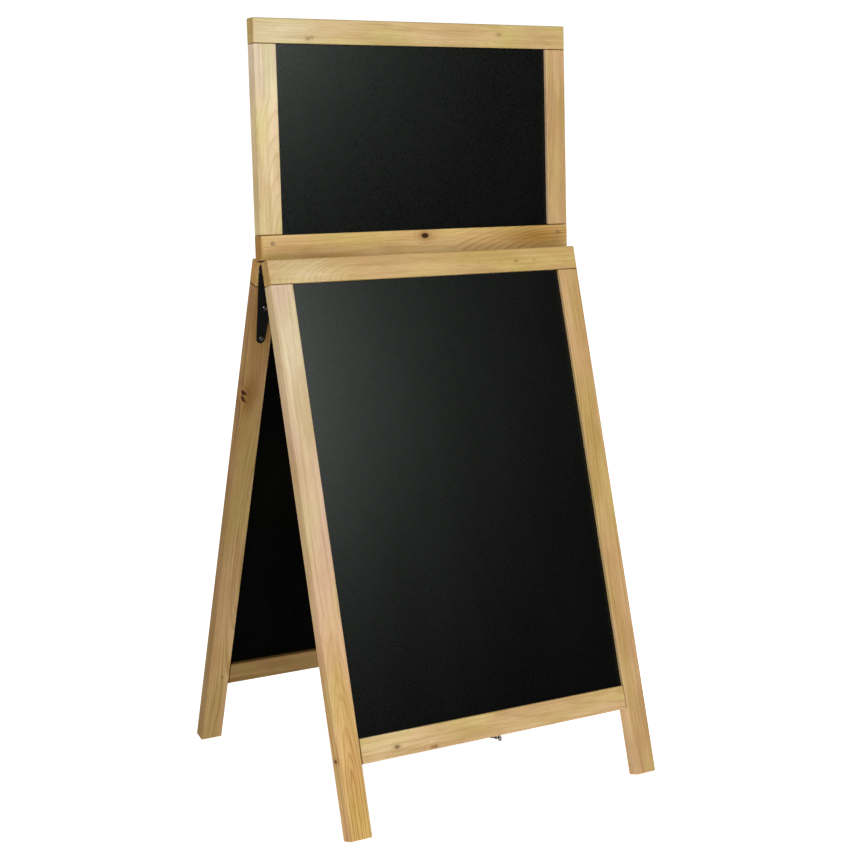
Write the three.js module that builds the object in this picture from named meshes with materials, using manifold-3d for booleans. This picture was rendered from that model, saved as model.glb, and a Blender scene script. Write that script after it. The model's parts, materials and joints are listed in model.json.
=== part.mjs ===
// A folding sandwich board: two framed chalk panels hinged together along the top, and a framed
// header panel standing on the same hinge pins. A short chain holds the boards at their opening.
// Millimetres, +Z up. X runs across the board and the front faces -Y. The origin is on the floor,
// midway between the front and the rear feet.

import Module from 'manifold-3d';
import * as THREE from 'three';
import { mergeVertices } from 'three/addons/utils/BufferGeometryUtils.js';

const wasm = await Module();
wasm.setup();

// Driving dimensions.
const BOARD_WIDTH = 550;
const HEADER_HEIGHT = 350;
const STOCK_THICKNESS = 21;
const BOARD_MEMBER_WIDTH = 36.5;
const HEADER_MEMBER_WIDTH = 36;
const RAIL_ABOVE_FOOT = 104;
const LEAN = THREE.MathUtils.degToRad(16.6);
const HEADER_LEAN = THREE.MathUtils.degToRad(3);
const FIT = 0.3;

// The hinge line: the folded boards' inner faces are HALF_GAP either side of it.
const HALF_GAP = 7;
const PIN_ABOVE_FOOT = 837;
const PIN_BELOW_TOP = { front: 9, rear: 8 };
const HEADER_ABOVE_PIN = 13.7;
const HEADER_SETBACK = 3;

// Panels, grooves, stub tenons and the wooden pins that lock them.
const PANEL_THICKNESS = 8;
const GROOVE_DEPTH = 8;
const TENON_THICKNESS = 8;
const TENON_WIDTH = 20;
const TENON_LENGTH = 18;
const TENON_SHOULDER = 10;
const JOINT_PIN_RADIUS = { board: 2, header: 3.2 };
const JOINT_PIN_LENGTH = 17;
const JOINT_PIN_SETBACK = 12;
const JOINT_PIN_FROM_END = { board: 22.5, header: 19.5 };
const HOLE_SIDES = 10;

// Strap hinges.
const HINGE_X = BOARD_WIDTH / 2 - BOARD_MEMBER_WIDTH / 2;
const LEAF_THICKNESS = 2.5;
const LEAF_TOP_HALF_WIDTH = 16;
const LEAF_TIP_RADIUS = 6.6;
const LEAF_REACH = 120.5;
const LEAF_SCREWS_BELOW_PIN = [13.4, 62.9, 112.4];
const KNUCKLE_RADIUS = HALF_GAP - FIT;
const HINGE_PIN_RADIUS = 3.2;
const HINGE_PIN_HEAD = { radius: 4.6, thickness: 1 };
const KNUCKLE_ENDS = { header: [0, 4.6], rear: [4.9, 11], front: [11.3, 16] };
const WEB_THICKNESS = 3;
const TANG_HALF_WIDTH = 12;
const TANG_DEPTH = 14;
const TANG_SHOULDER = 2;
const TANG_SCREW_X = 6;
const TANG_SCREW_RISE = 7;

// Fasteners and the stay.
const LEAF_SCREW = { shank: 2, head: 3.7, headHeight: 2.2, length: 16, tip: 4 };
const TANG_SCREW = { shank: 1.4, head: 3, headHeight: 1.6, length: 15, tip: 3 };
const STAY_X = 4;
const STAY_SAG = 24;
const EYE = { ring: 3.4, wire: 1.1, shank: 1.4, shankLength: 12, drop: 4.8 };
const CHAIN_RADIUS = 2.6;
const CHAIN_END_GAP = 6.5;
const CHAIN_STEPS = 36;

// Heights along a board, measured from the hinge pin, and the pin's height above the floor.
const BOARD_FOOT = -PIN_ABOVE_FOOT;
const RAIL_BOTTOM = BOARD_FOOT + RAIL_ABOVE_FOOT;
const PIN_HEIGHT = -BOARD_FOOT * Math.cos(LEAN) - HALF_GAP * Math.sin(LEAN);

const FINISHES = {
  wood: { color: 0xd8b17c, roughness: 0.55, metalness: 0 },
  shadedWood: { color: 0xb98f60, roughness: 0.6, metalness: 0 },
  chalkboard: { color: 0x17191a, roughness: 0.7, metalness: 0 },
  blackSteel: { color: 0x1b1c1d, roughness: 0.45, metalness: 0.6 },
  brightSteel: { color: 0xb4b6b8, roughness: 0.3, metalness: 1 },
};

/** Adds a mesh in a finish of its own, with its geometry moved so that centre is its position. */
function addPiece(parent, name, geometry, finish, centre = [0, 0, 0]) {
  const material = new THREE.MeshStandardMaterial(FINISHES[finish]);
  const mesh = new THREE.Mesh(geometry.translate(...centre.map((c) => -c)), material);
  mesh.name = name;
  mesh.position.set(...centre);
  parent.add(mesh);
}

/** The manifold solid of a closed geometry. */
function toSolid(geometry) {
  const bare = geometry.clone();
  bare.deleteAttribute('normal');
  bare.deleteAttribute('uv');
  const merged = mergeVertices(bare);
  return new wasm.Manifold(new wasm.Mesh({
    numProp: 3,
    vertProperties: Float32Array.from(merged.attributes.position.array),
    triVerts: Uint32Array.from(merged.index.array),
  }));
}

/** The flat-shaded geometry of a manifold solid. */
function toGeometry(solid) {
  const { vertProperties, triVerts } = solid.getMesh();
  const indexed = new THREE.BufferGeometry();
  indexed.setAttribute('position', new THREE.BufferAttribute(vertProperties, 3));
  indexed.setIndex(new THREE.BufferAttribute(triVerts, 1));
  const geometry = indexed.toNonIndexed();
  geometry.computeVertexNormals();
  return geometry;
}

/** Joins the added geometries and cuts the removed ones out of them. */
function carve(added, removed = []) {
  const [first, ...others] = added.map(toSolid);
  const joined = others.reduce((solid, other) => solid.add(other), first);
  return toGeometry(removed.map(toSolid).reduce((solid, hole) => solid.subtract(hole), joined));
}

/** A block between two corners, given as [x, y, z] in either order, grown by a margin all round. */
function block(corner, opposite, margin = 0) {
  const size = corner.map((c, i) => Math.abs(opposite[i] - c) + 2 * margin);
  const middle = corner.map((c, i) => (c + opposite[i]) / 2);
  return new THREE.BoxGeometry(...size).translate(...middle);
}

/** A rod along X, Y or Z from one coordinate to another; at gives the point its axis goes through. */
function rod(axis, radius, from, to, at, sides = 20) {
  const geometry = new THREE.CylinderGeometry(radius, radius, Math.abs(to - from), sides);
  if (axis === 'x') geometry.rotateZ(Math.PI / 2);
  if (axis === 'z') geometry.rotateX(Math.PI / 2);
  const middle = { x: at[0], y: at[1], z: at[2], [axis]: (from + to) / 2 };
  return geometry.translate(middle.x, middle.y, middle.z);
}

/** A round-headed wood screw along Y: its head's underside at Y 0, the head on the +Y side. */
function screwGeometry({ shank, head, headHeight, length, tip }) {
  const domeSteps = 3;
  const profile = [new THREE.Vector2(0, -length), new THREE.Vector2(shank, tip - length)];
  profile.push(new THREE.Vector2(shank, 0));
  for (let i = 0; i <= domeSteps; i += 1) {
    const angle = (i / domeSteps) * (Math.PI / 2);
    const radius = i === domeSteps ? 0 : head * Math.cos(angle);
    profile.push(new THREE.Vector2(radius, headHeight * Math.sin(angle)));
  }
  return new THREE.LatheGeometry(profile, 12);
}

/** Adds a screw at point; its head points along +Y if headSide is 1 and along -Y if it is -1. */
function addScrew(parent, name, screw, point, headSide) {
  const geometry = screwGeometry(screw);
  if (headSide < 0) geometry.rotateZ(Math.PI);
  addPiece(parent, name, geometry.translate(...point), 'brightSteel', point);
}

/**
 * Adds a frame of two stiles and two rails around a panel. Both rails cover the stiles' ends, or,
 * if the frame has legs, only the top rail does and the bottom rail fits between the stiles.
 * hollows are the extra holes that the hardware needs in the wood.
 */
function addFrame(parent, frame) {
  const { name, member, y: [yLow, yHigh], bottom, top, foot, pinFaces, hollows, finish } = frame;
  const hasLegs = foot !== undefined;
  const kind = hasLegs ? 'board' : 'header';
  const pinRadius = JOINT_PIN_RADIUS[kind];
  const outerX = BOARD_WIDTH / 2;
  const innerX = outerX - member;
  const yMiddle = (yLow + yHigh) / 2;
  const sightBottom = bottom + member;
  const sightTop = top - member;
  const tenonY = [yMiddle - TENON_THICKNESS / 2, yMiddle + TENON_THICKNESS / 2];

  const panelX = innerX + GROOVE_DEPTH - FIT;
  const panelCorners = [
    [-panelX, yMiddle - PANEL_THICKNESS / 2, sightBottom - GROOVE_DEPTH + FIT],
    [panelX, yMiddle + PANEL_THICKNESS / 2, sightTop + GROOVE_DEPTH - FIT],
  ];
  addPiece(parent, `${name}_panel`, block(...panelCorners), 'chalkboard',
    [0, yMiddle, (sightBottom + sightTop) / 2]);

  const railX = hasLegs ? innerX - FIT : outerX;
  const members = {
    top_rail: { corners: [[-outerX, yLow, sightTop], [outerX, yHigh, top]], tenons: [] },
    bottom_rail: { corners: [[-railX, yLow, bottom], [railX, yHigh, sightBottom]], tenons: [] },
  };
  const cuts = hollows.map((hole) => ({ hole }));
  cuts.push({ hole: block(...panelCorners, FIT) });

  const addTenon = (owner, from, to) => {
    members[owner].tenons.push([from, to]);
    cuts.push({ hole: block(from, to, FIT), owner });
  };
  const addJointPin = (label, pinFace, x, z) => {
    const from = pinFace === 'front' ? yLow : yHigh;
    const to = pinFace === 'front' ? yLow + JOINT_PIN_LENGTH : yHigh - JOINT_PIN_LENGTH;
    const at = [x, yMiddle, z];
    const holeEnd = to + Math.sign(to - from) * FIT;
    cuts.push({ hole: rod('y', pinRadius + FIT, from, holeEnd, at, HOLE_SIDES) });
    const pin = rod('y', pinRadius, from, to, at, HOLE_SIDES);
    addPiece(parent, `${name}_${label}_pin`, pin, finish, [x, (from + to) / 2, z]);
  };

  for (const [side, sign] of [['left', -1], ['right', 1]]) {
    const stile = `${side}_stile`;
    const stileBottom = hasLegs ? foot : sightBottom + FIT;
    members[stile] = {
      corners: [[sign * outerX, yLow, stileBottom], [sign * innerX, yHigh, sightTop - FIT]],
      tenons: [],
    };
    const tenonX = [innerX + TENON_SHOULDER, innerX + TENON_SHOULDER + TENON_WIDTH].map((x) => sign * x);
    addTenon(stile,
      [tenonX[0], tenonY[0], sightTop - member / 2],
      [tenonX[1], tenonY[1], sightTop + TENON_LENGTH]);
    const endPinX = sign * (outerX - JOINT_PIN_FROM_END[kind]);
    addJointPin(`top_${side}`, pinFaces.top, endPinX, sightTop + JOINT_PIN_SETBACK);
    if (hasLegs) {
      const tenonZ = (bottom + sightBottom - GROOVE_DEPTH) / 2;
      addTenon('bottom_rail',
        [sign * (railX - member / 2), tenonY[0], tenonZ - TENON_WIDTH / 2],
        [sign * (innerX + TENON_LENGTH), tenonY[1], tenonZ + TENON_WIDTH / 2]);
      addJointPin(`bottom_${side}`, pinFaces.bottom, sign * (innerX + JOINT_PIN_SETBACK), tenonZ);
    } else {
      addTenon(stile,
        [tenonX[0], tenonY[0], sightBottom + member / 2],
        [tenonX[1], tenonY[1], sightBottom - TENON_LENGTH]);
      addJointPin(`bottom_${side}`, pinFaces.bottom, endPinX, sightBottom - JOINT_PIN_SETBACK);
    }
  }

  for (const [label, { corners: [low, high], tenons }] of Object.entries(members)) {
    const holes = cuts.filter(({ owner }) => owner !== label).map(({ hole }) => hole);
    const body = carve([block(low, high), ...tenons.map((ends) => block(...ends))], holes);
    const centre = low.map((c, i) => (c + high[i]) / 2);
    addPiece(parent, `${name}_${label}`, body, finish, centre);
  }
}

/** Adds one strap of a hinge, its leaf flat on the board's inner face, and the strap's screws. */
function addStrap(parent, side, hinge, centreX) {
  const sign = side === 'front' ? -1 : 1;
  const plateTop = -(KNUCKLE_RADIUS + FIT);
  const tipCentre = LEAF_TIP_RADIUS - LEAF_REACH;
  const outline = new THREE.Shape();
  outline.moveTo(-LEAF_TOP_HALF_WIDTH, plateTop);
  outline.lineTo(-LEAF_TIP_RADIUS, tipCentre);
  outline.absarc(0, tipCentre, LEAF_TIP_RADIUS, Math.PI, 2 * Math.PI, false);
  outline.lineTo(LEAF_TOP_HALF_WIDTH, plateTop);
  const plateFaces = [KNUCKLE_RADIUS - LEAF_THICKNESS, KNUCKLE_RADIUS].map((y) => sign * y);
  const plate = new THREE.ExtrudeGeometry(outline, {
    depth: LEAF_THICKNESS, bevelEnabled: false, curveSegments: 10,
  });
  plate.rotateX(Math.PI / 2).translate(centreX, Math.max(...plateFaces), 0);

  const added = [plate];
  const [near, far] = KNUCKLE_ENDS[side];
  for (const end of [-1, 1]) {
    const [from, to] = [centreX + end * near, centreX + end * far];
    added.push(rod('x', KNUCKLE_RADIUS, from, to, [0, 0, 0]));
    added.push(block([from, plateFaces[0], plateTop - 1], [to, plateFaces[1], 0]));
  }
  const pinHole = rod('x', HINGE_PIN_RADIUS + FIT, centreX - 2 * far, centreX + 2 * far, [0, 0, 0]);
  const screwHoles = LEAF_SCREWS_BELOW_PIN.map((drop) => (
    rod('y', LEAF_SCREW.shank + FIT, 0, sign * 2 * HALF_GAP, [centreX, 0, -drop], HOLE_SIDES)
  ));
  addPiece(parent, `${hinge}_${side}_strap`, carve(added, [pinHole, ...screwHoles]), 'blackSteel',
    [centreX, 0, 0]);
  LEAF_SCREWS_BELOW_PIN.forEach((drop, i) => {
    const point = [centreX, sign * (KNUCKLE_RADIUS - LEAF_THICKNESS - FIT), -drop];
    addScrew(parent, `${hinge}_${side}_screw_${i + 1}`, LEAF_SCREW, point, -sign);
  });
}

/** The holes that a board's hinge screws and screw eye need in its wood. */
function boardHollows(sign) {
  const holes = [];
  for (const centreX of [-HINGE_X, HINGE_X]) {
    for (const drop of LEAF_SCREWS_BELOW_PIN) {
      const end = sign * (HALF_GAP + LEAF_SCREW.length - 1);
      const at = [centreX, 0, -drop];
      holes.push(rod('y', LEAF_SCREW.shank + FIT, 0, end, at, HOLE_SIDES));
    }
  }
  const eyeY = sign * (HALF_GAP + STOCK_THICKNESS / 2);
  const eyeEnd = RAIL_BOTTOM + EYE.shankLength + FIT;
  holes.push(rod('z', EYE.shank + FIT, RAIL_BOTTOM - 1, eyeEnd, [STAY_X, eyeY, 0], HOLE_SIDES));
  return holes;
}

/** The point at the middle of a screw eye's ring, in its board's own frame. */
function eyeCentre(sign) {
  return new THREE.Vector3(STAY_X, sign * (HALF_GAP + STOCK_THICKNESS / 2), RAIL_BOTTOM - EYE.drop);
}

/** Adds the screw eye under the middle of a board's bottom rail. */
function addScrewEye(parent, name, sign) {
  const [x, y, z] = eyeCentre(sign).toArray();
  const ring = new THREE.TorusGeometry(EYE.ring, EYE.wire, 8, 16).rotateY(Math.PI / 2);
  const shank = rod('z', EYE.shank, z + EYE.ring, RAIL_BOTTOM + EYE.shankLength, [x, y, z], 12);
  addPiece(parent, name, carve([ring.translate(x, y, z), shank]), 'brightSteel', [x, y, z]);
}

/** Adds a board: its frame, its half of both hinges and its screw eye. */
function addBoard(parent, side, finish) {
  const sign = side === 'front' ? -1 : 1;
  const faces = [sign * HALF_GAP, sign * (HALF_GAP + STOCK_THICKNESS)].sort((a, b) => a - b);
  const innerFace = side === 'front' ? 'rear' : 'front';
  addFrame(parent, {
    name: side,
    member: BOARD_MEMBER_WIDTH,
    y: faces,
    bottom: RAIL_BOTTOM,
    top: PIN_BELOW_TOP[side],
    foot: BOARD_FOOT,
    pinFaces: { top: innerFace, bottom: innerFace },
    hollows: boardHollows(sign),
    finish,
  });
  addStrap(parent, side, 'left_hinge', -HINGE_X);
  addStrap(parent, side, 'right_hinge', HINGE_X);
  addScrewEye(parent, `${side}_screw_eye`, sign);
}

/** Adds the third leaf of a hinge, whose tang is let into the header's bottom rail. */
function addHeaderTang(parent, hinge, centreX) {
  const halfWeb = WEB_THICKNESS / 2;
  const [left, right] = [-1, 1].map((end) => centreX + end * KNUCKLE_ENDS.header[1]);
  const screwZ = HEADER_ABOVE_PIN + TANG_SCREW_RISE;
  const added = [
    rod('x', KNUCKLE_RADIUS, left, right, [0, 0, 0]),
    block([left, -halfWeb, 0], [right, halfWeb, HEADER_ABOVE_PIN]),
    block(
      [centreX - TANG_HALF_WIDTH, -halfWeb, HEADER_ABOVE_PIN - TANG_SHOULDER],
      [centreX + TANG_HALF_WIDTH, halfWeb, HEADER_ABOVE_PIN + TANG_DEPTH],
    ),
  ];
  const screwXs = [centreX - TANG_SCREW_X, centreX + TANG_SCREW_X];
  const removed = screwXs.map((x) => (
    rod('y', TANG_SCREW.shank + FIT, -WEB_THICKNESS, WEB_THICKNESS, [x, 0, screwZ], HOLE_SIDES)
  ));
  removed.push(rod('x', HINGE_PIN_RADIUS + FIT, left - 1, right + 1, [0, 0, 0]));
  addPiece(parent, `${hinge}_header_tang`, carve(added, removed), 'blackSteel',
    [centreX, 0, HEADER_ABOVE_PIN]);

  const rearFace = HEADER_SETBACK + STOCK_THICKNESS / 2;
  screwXs.forEach((x, i) => {
    addScrew(parent, `${hinge}_tang_screw_${i + 1}`, TANG_SCREW, [x, rearFace + FIT, screwZ], 1);
  });
}

/** The slots for the tangs and the holes for their screws in the header's bottom rail. */
function headerHollows() {
  const rearFace = HEADER_SETBACK + STOCK_THICKNESS / 2;
  const holes = [];
  for (const centreX of [-HINGE_X, HINGE_X]) {
    holes.push(block(
      [centreX - TANG_HALF_WIDTH, -WEB_THICKNESS / 2, 0],
      [centreX + TANG_HALF_WIDTH, WEB_THICKNESS / 2, HEADER_ABOVE_PIN + TANG_DEPTH],
      FIT,
    ));
    for (const x of [centreX - TANG_SCREW_X, centreX + TANG_SCREW_X]) {
      const at = [x, 0, HEADER_ABOVE_PIN + TANG_SCREW_RISE];
      const end = rearFace - TANG_SCREW.length;
      holes.push(rod('y', TANG_SCREW.shank + FIT, end, rearFace + 1, at, HOLE_SIDES));
    }
  }
  return holes;
}

/** Adds the header board with the tangs that carry it on the hinge pins. */
function addHeader(parent) {
  addFrame(parent, {
    name: 'header',
    member: HEADER_MEMBER_WIDTH,
    y: [HEADER_SETBACK - STOCK_THICKNESS / 2, HEADER_SETBACK + STOCK_THICKNESS / 2],
    bottom: HEADER_ABOVE_PIN,
    top: HEADER_ABOVE_PIN + HEADER_HEIGHT,
    pinFaces: { top: 'rear', bottom: 'front' },
    hollows: headerHollows(),
    finish: 'wood',
  });
  addHeaderTang(parent, 'left_hinge', -HINGE_X);
  addHeaderTang(parent, 'right_hinge', HINGE_X);
}

/** Adds a hinge pin with a flat head at each end, through all of its hinge's knuckles. */
function addHingePin(parent, hinge, centreX) {
  const halfBarrel = KNUCKLE_ENDS.front[1] + FIT;
  const halfPin = halfBarrel + HINGE_PIN_HEAD.thickness;
  const added = [rod('x', HINGE_PIN_RADIUS, centreX - halfPin, centreX + halfPin, [0, 0, 0])];
  for (const end of [-1, 1]) {
    const [from, to] = [centreX + end * halfBarrel, centreX + end * halfPin];
    added.push(rod('x', HINGE_PIN_HEAD.radius, from, to, [0, 0, 0]));
  }
  addPiece(parent, `${hinge}_pin`, carve(added), 'blackSteel', [centreX, 0, 0]);
}

/** Adds the stay chain as a plain tube that sags between the two screw eyes. */
function addStayChain(parent, frontBoard, rearBoard) {
  parent.updateMatrixWorld(true);
  const start = eyeCentre(-1).applyMatrix4(frontBoard.matrixWorld);
  const end = eyeCentre(1).applyMatrix4(rearBoard.matrixWorld);
  const points = [];
  const endShare = CHAIN_END_GAP / start.distanceTo(end);
  for (let i = 0; i <= CHAIN_STEPS; i += 1) {
    const share = endShare + (1 - 2 * endShare) * (i / CHAIN_STEPS);
    const point = start.clone().lerp(end, share);
    point.z -= 4 * STAY_SAG * share * (1 - share);
    points.push(point);
  }
  const section = new THREE.Shape();
  section.absarc(0, 0, CHAIN_RADIUS, 0, 2 * Math.PI, false);
  const route = new THREE.CatmullRomCurve3(points);
  const geometry = new THREE.ExtrudeGeometry(section, {
    steps: CHAIN_STEPS, curveSegments: 4, bevelEnabled: false, extrudePath: route,
  });
  addPiece(parent, 'stay_chain', geometry, 'brightSteel', points[CHAIN_STEPS / 2].toArray());
}

/** An empty group on the hinge line, leaning so that its own +Z points along the board. */
function hingedGroup(parent, lean) {
  const group = new THREE.Group();
  group.position.z = PIN_HEIGHT;
  group.rotation.x = lean;
  parent.add(group);
  return group;
}

const sandwichBoard = new THREE.Group();
const frontBoard = hingedGroup(sandwichBoard, -LEAN);
const rearBoard = hingedGroup(sandwichBoard, LEAN);
const header = hingedGroup(sandwichBoard, -HEADER_LEAN);
addBoard(frontBoard, 'front', 'wood');
addBoard(rearBoard, 'rear', 'shadedWood');
addHeader(header);
addHingePin(frontBoard, 'left_hinge', -HINGE_X);
addHingePin(frontBoard, 'right_hinge', HINGE_X);
addStayChain(sandwichBoard, frontBoard, rearBoard);

export default sandwichBoard;
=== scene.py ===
"""The looks of a folding sandwich board with a header panel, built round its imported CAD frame.

Metres, +Z up, the front faces -Y. The wooden members, panels, straps, tangs and hinge pins are the
CAD nodes themselves, with rounded arrises and procedural finishes. Screws, screw eyes, joint pins
and the stay chain are detailed pieces that stand for their CAD nodes.
"""

import json
import math
import random
from dataclasses import dataclass

import bmesh
import bpy
import numpy as np
from mathutils import Euler, Matrix, Vector


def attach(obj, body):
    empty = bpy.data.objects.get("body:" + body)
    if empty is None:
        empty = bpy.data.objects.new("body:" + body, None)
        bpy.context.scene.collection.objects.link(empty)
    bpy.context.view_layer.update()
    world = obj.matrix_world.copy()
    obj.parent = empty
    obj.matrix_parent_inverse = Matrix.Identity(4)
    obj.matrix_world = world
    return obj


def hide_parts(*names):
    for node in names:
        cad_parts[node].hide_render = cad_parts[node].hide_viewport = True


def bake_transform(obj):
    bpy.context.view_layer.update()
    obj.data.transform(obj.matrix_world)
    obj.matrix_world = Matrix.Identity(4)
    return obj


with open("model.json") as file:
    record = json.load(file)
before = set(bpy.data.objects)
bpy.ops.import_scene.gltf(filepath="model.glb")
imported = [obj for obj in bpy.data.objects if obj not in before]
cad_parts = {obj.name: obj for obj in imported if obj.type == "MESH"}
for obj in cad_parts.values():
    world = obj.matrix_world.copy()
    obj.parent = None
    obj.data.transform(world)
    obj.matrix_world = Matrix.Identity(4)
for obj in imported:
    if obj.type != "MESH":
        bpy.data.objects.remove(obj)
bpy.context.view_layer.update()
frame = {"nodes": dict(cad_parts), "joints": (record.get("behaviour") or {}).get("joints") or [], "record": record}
NODES = frame["nodes"]
BODY_OF = {
    node: body
    for body, members in frame["record"]["behaviour"]["bodies"].items()
    for node in members
}
MM = 0.001

# ---------------------------------------------------------------------------------------------
# The frame's own dimensions, as the CAD has them, in millimetres.
# ---------------------------------------------------------------------------------------------
BOARD_WIDTH = 550
BOARD_TOP = {"front": 9, "rear": 8}
BOARD_FOOT = -837
RAIL_BOTTOM = -733
BOARD_MEMBER = 36.5
HEADER_MEMBER = 36
STOCK_THICKNESS = 21
HALF_GAP = 7
HEADER_BOTTOM = 13.7
HEADER_TOP = 363.7
HEADER_SETBACK = 3
FIT = 0.3
LEAN_DEG = {"front": -16.6, "rear": 16.6, "header": -3.0}
PIN = Vector(next(j for j in frame["joints"] if j["name"] == "fold")["pos_m"])

# From each board's own axes, whose origin is the hinge pin and whose Z points up the board.
PLACE = {
    side: Matrix.Translation(PIN) @ Matrix.Rotation(math.radians(lean), 4, "X")
    for side, lean in LEAN_DEG.items()
}


# ---------------------------------------------------------------------------------------------
# Node trees
# ---------------------------------------------------------------------------------------------
class Tree:
    """Adds nodes to a tree. An input takes a socket or a plain value."""

    def __init__(self, tree):
        self.nodes = tree.nodes
        self.links = tree.links

    def add(self, kind, inputs=None, **settings):
        node = self.nodes.new(kind)
        for name, value in settings.items():
            setattr(node, name, value)
        for key, value in (inputs or {}).items():
            if isinstance(value, bpy.types.NodeSocket):
                self.links.new(value, node.inputs[key])
            else:
                node.inputs[key].default_value = value
        return node

    def math(self, operation, *values):
        return self.add("ShaderNodeMath", dict(enumerate(values)), operation=operation).outputs[0]

    def vector(self, operation, *values):
        node = self.add("ShaderNodeVectorMath", dict(enumerate(values)), operation=operation)
        scalar = operation in {"LENGTH", "DISTANCE", "DOT_PRODUCT"}
        return node.outputs["Value" if scalar else "Vector"]

    def split(self, vector):
        return self.add("ShaderNodeSeparateXYZ", {0: vector}).outputs[:3]

    def join(self, x, y, z):
        return self.add("ShaderNodeCombineXYZ", {0: x, 1: y, 2: z}).outputs[0]

    def ease(self, value, low, high, start=0.0, end=1.0):
        """start below low, end above high, and a smooth step between them."""
        inputs = {0: value, 1: low, 2: high, 3: start, 4: end}
        return self.add("ShaderNodeMapRange", inputs, interpolation_type="SMOOTHSTEP").outputs[0]

    def spread(self, value, low, high):
        """A value from 0 to 1 as one from low to high."""
        return self.add("ShaderNodeMapRange", {0: value, 3: low, 4: high}).outputs[0]

    def noise(self, vector, scale=1.0, detail=2.0, roughness=0.5):
        inputs = {"Vector": vector, "Scale": scale, "Detail": detail, "Roughness": roughness}
        return self.add("ShaderNodeTexNoise", inputs).outputs[0]

    def grain_noise(self, vector, along, across, detail=2.0, roughness=0.5):
        """Noise drawn out along X: along and across are its scales that way and the other two."""
        stretched = self.vector("MULTIPLY", vector, (along, across, across))
        return self.noise(stretched, 1.0, detail, roughness)

    def curve(self, value, points):
        """A value from 0 to 1 through a soft curve of (value, result) points."""
        node = self.add("ShaderNodeFloatCurve", {"Value": value})
        line = node.mapping.curves[0].points
        for _ in points[2:]:
            line.new(0.5, 0.5)
        for point, place in zip(line, points, strict=True):
            point.location = place
        node.mapping.update()
        return node.outputs[0]

    def blend(self, share, base, other, kind="MIX"):
        inputs = {0: share, 6: base, 7: other}
        return self.add("ShaderNodeMix", inputs, data_type="RGBA", blend_type=kind).outputs[2]


def colour(red, green, blue):
    return (red, green, blue, 1.0)


WHITE = colour(1, 1, 1)


def new_material(name, **constants):
    """A material with a Principled shader whose constants are set, and its tree."""
    material = bpy.data.materials.new(name)
    material.use_nodes = True
    tree = Tree(material.node_tree)
    shader = tree.nodes["Principled BSDF"]
    for key, value in constants.items():
        shader.inputs[key.replace("_", " ").title().replace("Ior", "IOR")].default_value = value
    return material, tree, shader


def link_surface(tree, shader, shade, roughness, height, strength, distance):
    """Links a shader's colour, roughness and bump."""
    inputs = {"Height": height, "Strength": strength, "Distance": distance}
    bump = tree.add("ShaderNodeBump", inputs)
    tree.links.new(shade, shader.inputs["Base Color"])
    tree.links.new(roughness, shader.inputs["Roughness"])
    tree.links.new(bump.outputs[0], shader.inputs["Normal"])


def local_point(tree, place):
    """The object coordinates in the axes of a placed frame."""
    point = tree.add("ShaderNodeTexCoord").outputs["Object"]
    inputs = {
        "Vector": point,
        "Location": place.to_translation(),
        "Rotation": place.to_euler("XYZ"),
    }
    return tree.add("ShaderNodeMapping", inputs, vector_type="TEXTURE").outputs[0]


# ---------------------------------------------------------------------------------------------
# The wooden members
# ---------------------------------------------------------------------------------------------
@dataclass
class Member:
    """One rail or stile. Its axes: X along the grain, Y across the width, Z out of the front."""

    name: str
    place: Matrix
    size: Vector
    low_soft: tuple  # how rounded the faces at the axes' low ends meet their neighbours, 0 to 1
    high_soft: tuple
    joint_ends: tuple  # which ends, low and high, butt against another member


OUTER, SIGHT, FREE_END, JOINT, UNDERSIDE = 1.0, 0.5, 0.8, 0.38, 0.2
RAIL_AXES = Matrix(((1, 0, 0), (0, 0, -1), (0, 1, 0))).to_4x4()
STILE_AXES = Matrix(((0, -1, 0), (0, 0, -1), (1, 0, 0))).to_4x4()


def make_member(side, label, low, high):
    """The member between two corners, (x, y, z) in its board's axes, in millimetres."""
    low, high = Vector(low) * MM, Vector(high) * MM
    is_rail = label.endswith("rail")
    axes = RAIL_AXES if is_rail else STILE_AXES
    place = PLACE[side] @ Matrix.Translation((low + high) / 2) @ axes
    extent = high - low
    size = Vector((extent.x, extent.z, extent.y)) if is_rail else Vector((extent.z, extent.x, extent.y))
    has_legs = side != "header"
    if not is_rail:
        left = label.startswith("left")
        low_end = FREE_END if has_legs else JOINT
        low_soft = (low_end, SIGHT if left else OUTER, OUTER)
        high_soft = (JOINT, OUTER if left else SIGHT, OUTER)
        joint_ends = (not has_legs, True)
    elif label == "bottom_rail" and has_legs:
        low_soft, high_soft = (JOINT, OUTER, OUTER), (JOINT, SIGHT, OUTER)
        joint_ends = (True, True)
    else:
        top = label == "top_rail"
        low_soft = (FREE_END, SIGHT if top else UNDERSIDE, OUTER)
        high_soft = (FREE_END, OUTER if top else SIGHT, OUTER)
        joint_ends = (False, False)
    return Member(f"{side}_{label}", place, size, low_soft, high_soft, joint_ends)


def frame_members(side):
    """The four members round a panel."""
    has_legs = side != "header"
    member = BOARD_MEMBER if has_legs else HEADER_MEMBER
    top = BOARD_TOP[side] if has_legs else HEADER_TOP
    bottom = RAIL_BOTTOM if has_legs else HEADER_BOTTOM
    half = STOCK_THICKNESS / 2
    middle = {"front": -HALF_GAP - half, "rear": HALF_GAP + half, "header": HEADER_SETBACK}[side]
    y = (middle - half, middle + half)
    outer = BOARD_WIDTH / 2
    inner = outer - member
    stile_z = (BOARD_FOOT if has_legs else bottom + member + FIT, top - member - FIT)
    rail_x = inner - FIT if has_legs else outer
    spans = {
        "top_rail": ((-outer, outer), (top - member, top)),
        "bottom_rail": ((-rail_x, rail_x), (bottom, bottom + member)),
        "left_stile": ((-outer, -inner), stile_z),
        "right_stile": ((inner, outer), stile_z),
    }
    return [
        make_member(side, label, (x[0], y[0], z[0]), (x[1], y[1], z[1]))
        for label, (x, z) in spans.items()
    ]


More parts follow.
